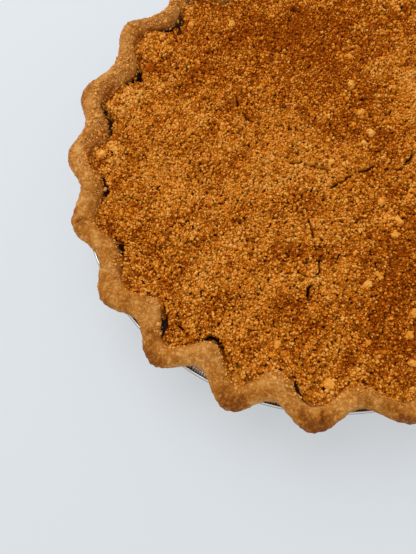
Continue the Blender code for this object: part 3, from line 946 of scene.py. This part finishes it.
class PIE_OT_crust(bpy.types.Operator):
    """Model the pastry that lines the tin, with its fluted and blistered rim"""

    bl_idname = "pie.crust"
    bl_label = "Pastry crust"

    # Angles round the rim, in degrees: where painted shade makes the tips browner, and where it
    # has risen most; and how much higher it is there
    BROWNEST, HIGHEST, LIFT = 257.0, 155.0, 0.9 * MM

    def execute(self, context):
        settings = context.scene.pie_crust
        beside_tip = np.array([math.radians(LEFT_FLUTES[3][0] + 4.0)])
        profile = crust_profile(beside_tip, settings.crest)
        rings = [[float(np.interp(k, range(LAST_RING + 1), row[:, 0])) for row in profile]
                 for k in CRUST_RINGS]
        crust = draw_out_rings(CRUST_SPOKES, rings)
        crust.name = crust.data.name = "pastry_crust"
        store_values(crust, "ring", np.repeat(CRUST_RINGS, CRUST_SPOKES))
        close_ends(crust, CRUST_SPOKES, len(CRUST_RINGS) - 1)
        numbers = values_of(crust, "ring")
        poles = np.arange(len(numbers)) >= len(CRUST_RINGS) * CRUST_SPOKES
        is_upper = points_of(crust)[poles, 2] > 2.0 * MM
        numbers[poles] = np.where(is_upper, -1.0, LAST_RING + 1.0)
        store_values(crust, "ring", numbers)
        finer = crust.modifiers.new("finer", "SUBSURF")
        finer.subdivision_type = "SIMPLE"
        finer.levels = finer.render_levels = 2
        apply_modifier(crust, finer)
        self.shape(crust, settings)
        face_outwards(crust)
        bpy.ops.object.shade_smooth()
        finish_piece(crust, "crust", pastry_material(settings))
        return {"FINISHED"}

    def shape(self, crust, settings):
        """Lays every point on the fluted form, then adds puffs, pinches and blisters."""
        ring = values_of(crust, "ring")
        places = points_of(crust)
        fitted = (ring >= 0.0) & (ring <= LAST_RING)
        angles = np.arctan2(places[:, 1], places[:, 0])
        radius, height = (along_rings(values, np.clip(ring, 0.0, LAST_RING))
                          for values in crust_profile(angles, settings.crest))
        wave, _, _ = rim_plan(angles)
        on_rim = smoothly(ring, 4.3, 5.5) * (1.0 - smoothly(ring, 9.0, 9.8))
        pressed, folded = self.pressed_in(angles, radius, ring)
        height = height - pressed + self.LIFT * on_rim * self.risen(angles)
        shaped = np.column_stack((radius * np.cos(angles), radius * np.sin(angles), height))
        puffs = soft_noise(shaped * (1.0, 1.0, 0.5), 13.0 * MM)
        knuckles = soft_noise(shaped, 5.5 * MM)
        shaped[:, 2] += (settings.puff * puffs + 0.5 * settings.puff * knuckles) * on_rim
        places[fitted] = shaped[fitted]
        move_points(crust, places)
        self.store_toast(crust, ring, wave, shaped, folded)
        roughen(crust, "blisters", "CLOUDS", 3.4 * MM, settings.blister, on_rim)
        roughen(crust, "flakes", "VORONOI", 2.4 * MM, -0.9 * settings.blister, on_rim)
        roughen(crust, "skin", "CLOUDS", 1.2 * MM, 0.9 * settings.blister, on_rim)

    def risen(self, angles):
        """1 where the rim has risen most, down to 0 away from there."""
        return np.exp(-(degrees_from(angles, self.HIGHEST) / 42.0)**4)

    def pressed_in(self, angles, radius, ring):
        """How deep the creases and the dents go at each point, and how much darker they are
        coloured.
        """
        depth = np.zeros(len(angles))
        folded = np.zeros(len(angles))
        upper = smoothly(ring, 5.1, 5.9) * (1.0 - smoothly(ring, 6.7, 7.5))
        bend = 1.2 * MM * soft_noise(np.column_stack((radius, angles * 0.02, ring * MM)), 4.0 * MM)
        for at, deepest in CREASES:
            away = np.radians(degrees_from(angles, at)) * radius + bend
            fold = np.exp(-(away / (0.65 * MM))**2)
            shoulder = np.exp(-((np.abs(away) - 2.1 * MM) / (1.1 * MM))**2)
            depth += deepest * MM * upper * (fold - 0.45 * shoulder)
            folded = np.maximum(folded, min(1.0, deepest) * upper * fold)
        for at, reach, size in DENTS:
            across = (radius * np.cos(angles - math.radians(at)) - reach * MM) / (size * MM)
            along = radius * np.sin(angles - math.radians(at)) / (1.3 * size * MM)
            dent = np.exp(-(across * across + along * along)) * upper
            depth += 0.9 * MM * dent
            folded = np.maximum(folded, 0.35 * dent)
        return depth, folded

    def store_toast(self, crust, ring, wave, shaped, folded):
        """Browner towards the tips and the crest, paler low down and in the valleys, darker in the
        creases and dents, and with painted shade as extra brown on the tips round one side.
        """
        patches = soft_noise(shaped, 15.0 * MM)
        blotches = soft_noise(shaped, 5.0 * MM)
        angles = np.arctan2(shaped[:, 1], shaped[:, 0])
        # Painted shade: the tips round this angle are coloured browner, and brown further in
        near = np.exp(-(degrees_from(angles, self.BROWNEST) / 32.0)**2)
        tips = smoothly(wave, -0.4, 1.0) * smoothly(ring, 5.8 - 0.9 * near, 7.6 - 0.9 * near)
        low = smoothly(ring, 8.6, 9.6)
        toast = 0.5 + (0.24 + 0.34 * near) * tips - 0.3 * low + 0.4 * folded
        toast += 0.2 * patches + 0.18 * blotches - 0.06 * self.risen(angles)
        store_values(crust, "toast", np.clip(toast, 0.0, 1.0))
        # Painted shade on the rim's inner side down at the crumb top, kept as depth; strongest
        # where the crumb top stands back
        deep = 1.0 - smoothly(shaped[:, 2], 33.6 * MM, 36.8 * MM)
        deep *= 0.3 + 0.7 * smoothly(edge_gap(angles), 0.8 * MM, 2.0 * MM)
        store_values(crust, "depth", deep * (ring < 6.0))


class PIE_OT_crumb_top(bpy.types.Operator):
    """Model the filling with its lumpy, cracked crumb top"""

    bl_idname = "pie.crumb_top"
    bl_label = "Crumb top"

    # Cells along each side of the sheet, and steps from its edge down to the floor
    CELLS = 520
    STEPS_DOWN = 4

    def execute(self, context):
        settings = context.scene.pie_crumb
        deselect_all()
        bpy.ops.mesh.primitive_grid_add(x_subdivisions=self.CELLS, y_subdivisions=self.CELLS,
                                        size=2.0)
        top = context.object
        top.name = top.data.name = "crumb_top"
        self.round_off(top)
        self.raise_top(top, settings)
        self.close_below(top)
        face_outwards(top)
        bpy.ops.object.shade_smooth()
        # The top is a darker kind than the loose crumbs, so the gaps between them show partly
        # painted shade
        finish_piece(top, "filling",
                     crumb_material("crumb top", crumb_colours(settings), shift=0.28))
        return {"FINISHED"}

    def round_off(self, top):
        """Turns the square sheet into a disc whose edge tucks into the fluted rim."""
        places = points_of(top)
        x, y = places[:, 0].copy(), places[:, 1].copy()
        places[:, 0] = x * np.sqrt(1.0 - y * y / 2.0)
        places[:, 1] = y * np.sqrt(1.0 - x * x / 2.0)
        share = np.hypot(places[:, 0], places[:, 1])
        angles = np.arctan2(places[:, 1], places[:, 0])
        _, inner, _ = rim_plan(angles)
        reach = inner + 0.9 * MM
        radius = share * NARROWEST_BULGE + (reach - NARROWEST_BULGE) * share**9
        lay_round(places, radius, angles)
        move_points(top, places)

    def raise_top(self, top, settings):
        """Lifts the disc to the lumps, ripples, cracks and edge gaps, then roughens it, and keeps
        its tone and its painted shade.
        """
        places = points_of(top)
        x, y = places[:, 0], places[:, 1]
        angles = np.arctan2(y, x)
        _, inner, _ = rim_plan(angles)
        height = crumb_base(x, y, settings)
        along, across = along_and_across(x, y, RIPPLE_TURN)
        height += 0.4 * MM * soft_noise(flat_rows(along / 3.0, across, 0.003), 7.0 * MM)
        height += settings.clump * clumps(x, y) + settings.heap * heap_share(x, y)
        opening = 1.0 - smoothly(crack_distance(x, y), 0.3 * MM, 0.8 * MM)
        opening = np.maximum(opening, 0.7 * pit_share(x, y))
        from_wall = inner - np.hypot(x, y)
        start, end = torn_gap(x, y, angles)
        shrunk = 1.0 - smoothly(from_wall, end - 0.4 * MM, end + 0.4 * MM)
        shrunk *= smoothly(from_wall, start - 0.4 * MM, start + 0.2 * MM)
        deep = smoothly(end - start, 0.4 * MM, 1.2 * MM)
        holes = pores(x, y)
        height -= settings.crack_depth * opening + shrunk * (0.5 + 3.8 * deep) * MM
        height -= 0.6 * MM * holes
        places[:, 2] = height
        move_points(top, places)
        open_share = smoothly(from_wall, -0.5 * MM, 0.5 * MM) * (1.0 - 0.8 * opening)
        roughen(top, "grain", "VORONOI", 1.5 * MM, -1.1 * MM, open_share, "Z")
        roughen(top, "fine grain", "CLOUDS", 0.8 * MM, 0.6 * MM, open_share, "Z")
        # Painted shade, kept as depth: dark in the cracks, pits and gaps from the pastry, and in
        # the pores and hollows where the grain fell
        fallen = height - points_of(top)[:, 2]
        void_shade = 0.05 + 0.5 * smoothly(fallen, 0.0, 0.5 * MM) + 0.5 * holes
        depth = np.maximum(opening, shrunk * (0.3 + 0.7 * deep))
        store_values(top, "depth", np.clip(np.maximum(depth, void_shade), 0.0, 1.0))
        store_values(top, "tone", np.clip(baked_tone(x, y), 0.0, 1.0))

    def close_below(self, top):
        """Draws the edge down inside the pastry lining and closes it under the filling."""
        count = len(top.data.vertices)
        make_active(top)
        bpy.ops.object.mode_set(mode="EDIT")
        bpy.ops.mesh.select_all(action="SELECT")
        bpy.ops.mesh.region_to_loop()
        for _ in range(self.STEPS_DOWN):
            bpy.ops.mesh.extrude_edges_move()
        bpy.ops.object.mode_set(mode="OBJECT")
        places = points_of(top)
        edge = (len(places) - count) // self.STEPS_DOWN
        angles = np.arctan2(places[count:, 1], places[count:, 0])
        _, inner, _ = rim_plan(angles)
        inset = LINING + 2.0 * TIN_CLEARANCE
        floor = FOIL + PASTRY + 2.0 * GAP
        high, foot = 25.7 * MM, floor + PASTRY
        beyond = inner - NARROWEST_BULGE
        even = np.ones_like(angles)
        steps = (
            (NARROWEST_BULGE - 0.9 * MM + 0.5 * beyond, POCKET_FLOOR + GAP + 0.15 * beyond),
            ((tin_wall_radius(high) - inset) * even, high * even),
            ((tin_wall_radius(foot) - inset) * even, foot * even),
            ((tin_wall_radius(foot) - 13.0 * MM) * even, floor * even),
        )
        for k, (radius, height) in enumerate(steps):
            rows = slice(k * edge, (k + 1) * edge)
            below = places[count:][rows]
            lay_round(below, radius[rows], angles[rows])
            below[:, 2] = height[rows]
        move_points(top, places)
        bpy.ops.object.mode_set(mode="EDIT")
        bpy.ops.mesh.extrude_edges_move()
        bpy.ops.mesh.merge(type="CENTER")
        bpy.ops.object.mode_set(mode="OBJECT")


def surface_of(names):
    """One search tree over the faces of the named pieces."""
    corners, faces = [], []
    for name in names:
        item = bpy.data.objects[name]
        offset = sum(len(part) for part in corners)
        corners.append(points_of(item))
        faces += [[v + offset for v in face.vertices] for face in item.data.polygons]
    return BVHTree.FromPolygons(np.vstack(corners).tolist(), faces)


def drop_onto(surface, x, y):
    """Height and upward slant of the surface under each place. Height is nan where it misses."""
    heights = np.full(len(x), np.nan)
    slants = np.zeros(len(x))
    above, down = 0.06, Vector((0.0, 0.0, -1.0))
    for i, (px, py) in enumerate(zip(x, y)):
        place, normal, _, _ = surface.ray_cast(Vector((px, py, above)), down)
        if place is not None:
            heights[i], slants[i] = place.z, normal.z
    return heights, slants


def scattered_places(reach, spacing, draw):
    """A jittered square pattern of places inside a radius."""
    steps = np.arange(-reach, reach, spacing)
    x, y = (part.ravel() for part in np.meshgrid(steps, steps))
    x = x + draw.uniform(-0.5, 0.5, len(x)) * spacing
    y = y + draw.uniform(-0.5, 0.5, len(y)) * spacing
    inside = np.hypot(x, y) < reach
    return x[inside], y[inside]


def random_turns(count, draw):
    """Rotation matrices evenly spread over all directions."""
    turns = draw.normal(size=(4, count))
    w, x, y, z = turns / np.linalg.norm(turns, axis=0)
    return np.array((
        (1 - 2 * (y * y + z * z), 2 * (x * y - z * w), 2 * (x * z + y * w)),
        (2 * (x * y + z * w), 1 - 2 * (x * x + z * z), 2 * (y * z - x * w)),
        (2 * (x * z - y * w), 2 * (y * z + x * w), 1 - 2 * (x * x + y * y)),
    )).transpose(2, 0, 1)


def join_crumbs(name, places, sizes, tones, draw, detail, knob, flatness):
    """One mesh of knobbly crumbs, each at its place with its own turn, size and tone."""
    deselect_all()
    bpy.ops.mesh.primitive_ico_sphere_add(subdivisions=detail, radius=0.5)
    joined = bpy.context.object
    joined.name = joined.data.name = name
    shape = points_of(joined)
    faces = np.array([face.vertices[:] for face in joined.data.polygons])
    count, points = len(places), len(shape)
    knobs = draw.uniform(1.0 - knob, 1.0 + knob, (count, points, 1))
    stretch = draw.uniform(1.0 - flatness, 1.0, (count, 1, 3)) * sizes[:, None, None]
    body = shape[None] * knobs * stretch
    body = np.einsum("nij,nkj->nki", random_turns(count, draw), body) + places[:, None]
    corners = (faces[None] + points * np.arange(count)[:, None, None]).ravel()
    data = bpy.data.meshes.new(name)
    data.vertices.add(count * points)
    data.vertices.foreach_set("co", body.astype(np.float32).ravel())
    data.loops.add(len(corners))
    data.loops.foreach_set("vertex_index", corners.astype(np.int32))
    data.polygons.add(len(corners) // 3)
    data.polygons.foreach_set("loop_start", np.arange(0, len(corners), 3, dtype=np.int32))
    data.update(calc_edges=True)
    spare = joined.data
    joined.data = data
    bpy.data.meshes.remove(spare)
    store_values(joined, "tone", np.repeat(tones, points))
    store_values(joined, "depth", np.zeros(count * points))
    return joined


class PIE_OT_fine_crumbs(bpy.types.Operator):
    """Strew the fine baked crumbs that cover the top and dust the rim"""

    bl_idname = "pie.fine_crumbs"
    bl_label = "Fine crumbs"

    KINDS = ("crumbs_pale", "crumbs_golden", "crumbs_orange", "crumbs_amber", "crumbs_brown")

    # How far out the crumbs of the top and those of the rim are sown, the spacing on the rim,
    # and the angle in degrees where they lie thickest there
    REACH, RIM_REACH, RIM_SPACING, THICKEST = 118.0 * MM, 126.0 * MM, 0.95 * MM, 153.0

    def execute(self, context):
        settings = context.scene.pie_crumb
        draw = np.random.default_rng(settings.seed)
        surface = surface_of(("crumb_top", "pastry_crust"))
        x, y = scattered_places(self.REACH, settings.spacing, draw)
        coarse = heap_share(x, y) + 0.35 + 0.9 * soft_noise(flat_rows(x, y, 0.04), 13.0 * MM)
        size = settings.smallest + (settings.largest - settings.smallest) * draw.beta(
            1.5, 5.2 - 2.8 * np.clip(coarse, 0.0, 1.0))
        angles = np.arctan2(y, x)
        _, inner, _ = rim_plan(angles)
        from_wall = inner - np.hypot(x, y)
        start, end = torn_gap(x, y, angles)
        keep = clumps(x, y) + draw.normal(0.0, 0.4, len(x)) > -0.9
        keep |= draw.random(len(x)) < 0.1
        keep &= pores(x, y) < 0.5
        bridged = end - start < 0.6 * MM
        keep &= (from_wall > end + 0.3 * size) | (from_wall < start - 0.2 * size) | bridged
        keep &= (crack_distance(x, y) > 0.3 * MM + 0.4 * size) & (pit_share(x, y) < 0.3)
        keep &= from_wall > -0.4 * MM - 0.9 * MM * smoothly(edge_gap(angles), 1.4 * MM, 0.7 * MM)
        x, y, size = x[keep], y[keep], size[keep]
        height, _ = drop_onto(surface, x, y)
        tone = baked_tone(x, y) + draw.normal(0.0, 0.3, len(x))
        places = np.column_stack((x, y, height + 0.28 * size))
        material = crumb_material("loose crumb", crumb_colours(settings), shift=0.0)
        for name, chosen in zip(self.KINDS, np.array_split(np.argsort(tone), len(self.KINDS))):
            self.strew(name, places[chosen], size[chosen], tone[chosen], draw, material,
                       "filling")
        pastry = context.scene.pie_crust
        colours = settings.light, pastry.pale, pastry.golden, pastry.dark
        self.dust_rim(surface, draw, settings, crumb_material("rim crumb", colours, shift=0.0))
        return {"FINISHED"}

    def strew(self, name, places, sizes, tones, draw, material, node):
        joined = join_crumbs(name, places, sizes, np.clip(tones, 0.0, 1.0), draw,
                             detail=1, knob=0.35, flatness=0.5)
        finish_piece(joined, node, material)

    def dust_rim(self, surface, draw, settings, material):
        """Golden grains on the inner slope of the rim, thickest on the far left."""
        x, y = scattered_places(self.RIM_REACH, self.RIM_SPACING, draw)
        angles = np.arctan2(y, x)
        wave, inner, outer = rim_plan(angles)
        outwards = (np.hypot(x, y) - inner) / (outer - inner)
        far_left = np.exp(-(degrees_from(angles, self.THICKEST) / 36.0)**4)
        cluster = soft_noise(flat_rows(x, y, 0.08), 6.0 * MM)
        reach = 0.13 - 0.12 * wave + (0.46 - 0.1 * wave) * far_left
        reach += (0.4 - 0.1 * far_left) * cluster
        reach += 0.12 * soft_noise(flat_rows(x, y, 0.12), 2.0 * MM)
        keep = (outwards > -0.03) & (outwards < reach)
        fading = outwards / np.maximum(reach, 0.01)
        keep &= draw.random(len(x)) < 0.75 + 0.4 * far_left + 0.4 * cluster - 0.5 * fading
        x, y, outwards = x[keep], y[keep], outwards[keep]
        height, slant = drop_onto(surface, x, y)
        held = (slant > 0.3) | (outwards < 0.15)
        x, y, height = x[held], y[held], height[held]
        size = settings.smallest + 2.4 * MM * draw.beta(1.2, 4.0, len(x))
        tone = draw.normal(0.45, 0.28, len(x)) + 0.3 * soft_noise(flat_rows(x, y), 5.0 * MM)
        places = np.column_stack((x, y, height + 0.15 * size))
        self.strew("crumbs_on_rim", places, size, tone, draw, material, "crust")


class PIE_OT_large_crumbs(bpy.types.Operator):
    """Set the larger crumbs that lie baked onto the top"""

    bl_idname = "pie.large_crumbs"
    bl_label = "Large crumbs"

    def execute(self, context):
        settings = context.scene.pie_crumb
        surface = surface_of(("crumb_top",))
        draw = np.random.default_rng(settings.seed + 1)
        near = [[*(value * MM for value in sizes), tone] for *sizes, tone in CRUMBS]
        x, y, length, breadth, tones = np.array(near + self.far_crumbs()).T
        height, _ = drop_onto(surface, x, y)
        size = 0.5 * (length + breadth)
        places = np.column_stack((x, y, height + 0.04 * size))
        crumbs = join_crumbs("crumbs_large", places, size * 1.1, tones, draw,
                             detail=4, knob=0.01, flatness=0.3)
        share = np.ones(len(crumbs.data.vertices))
        roughen(crumbs, "lumps", "CLOUDS", 2.8 * MM, 2.0 * MM, share)
        roughen(crumbs, "knobs", "VORONOI", 1.5 * MM, -0.8 * MM, share)
        roughen(crumbs, "pores", "CLOUDS", 0.6 * MM, 0.3 * MM, share)
        make_active(crumbs)
        bpy.ops.object.shade_smooth()
        finish_piece(crumbs, "filling",
                     crumb_material("large crumb", crumb_colours(settings), shift=-0.12))
        return {"FINISHED"}

    def far_crumbs(self):
        """Crumbs on the far side of the pie, well inside the rim, spread as in the solid."""
        draw = random.Random(FAR_SEED)
        rows = []
        while len(rows) < FAR_CRUMBS:
            x = draw.uniform(-CRUMB_REACH, CRUMB_REACH)
            y = draw.uniform(-CRUMB_REACH, CRUMB_REACH)
            if math.hypot(x, y) < CRUMB_REACH and (x > FAR_SIDE_X or y > FAR_SIDE_Y):
                length = draw.uniform(3.6 * MM, 5.6 * MM)
                tone = 0.25 + 0.03 * len(rows)
                rows.append([x, y, length, length * draw.uniform(0.65, 0.95), tone])
        return rows


class PIE_PT_panel(bpy.types.Panel):
    """Steps and settings of the pie"""

    bl_label = "Crumb Pie"
    bl_space_type = "VIEW_3D"
    bl_region_type = "UI"
    bl_category = "Pie"

    def draw(self, context):
        for step in STEPS:
            self.layout.operator(step.bl_idname)
        for name, kind in SETTINGS.items():
            column = self.layout.column(align=True)
            column.label(text=kind.__doc__)
            for entry in kind.__annotations__:
                column.prop(getattr(context.scene, name), entry)


SETTINGS = {
    "pie_stage": StageSettings,
    "pie_tin": TinSettings,
    "pie_crust": CrustSettings,
    "pie_crumb": CrumbSettings,
}
STEPS = (PIE_OT_stage, PIE_OT_foil_tin, PIE_OT_crust, PIE_OT_crumb_top, PIE_OT_fine_crumbs,
         PIE_OT_large_crumbs)


def register():
    for kind in (*SETTINGS.values(), *STEPS, PIE_PT_panel):
        bpy.utils.register_class(kind)
    for name, kind in SETTINGS.items():
        setattr(bpy.types.Scene, name, PointerProperty(type=kind))


def unregister():
    for name in SETTINGS:
        delattr(bpy.types.Scene, name)
    for kind in reversed((*SETTINGS.values(), *STEPS, PIE_PT_panel)):
        bpy.utils.unregister_class(kind)


def main():
    register()
    bpy.ops.pie.stage()
    bpy.ops.pie.foil_tin()
    bpy.ops.pie.crust()
    bpy.ops.pie.crumb_top()
    bpy.ops.pie.fine_crumbs()
    bpy.ops.pie.large_crumbs()


if __name__ == "__main__":
    main()
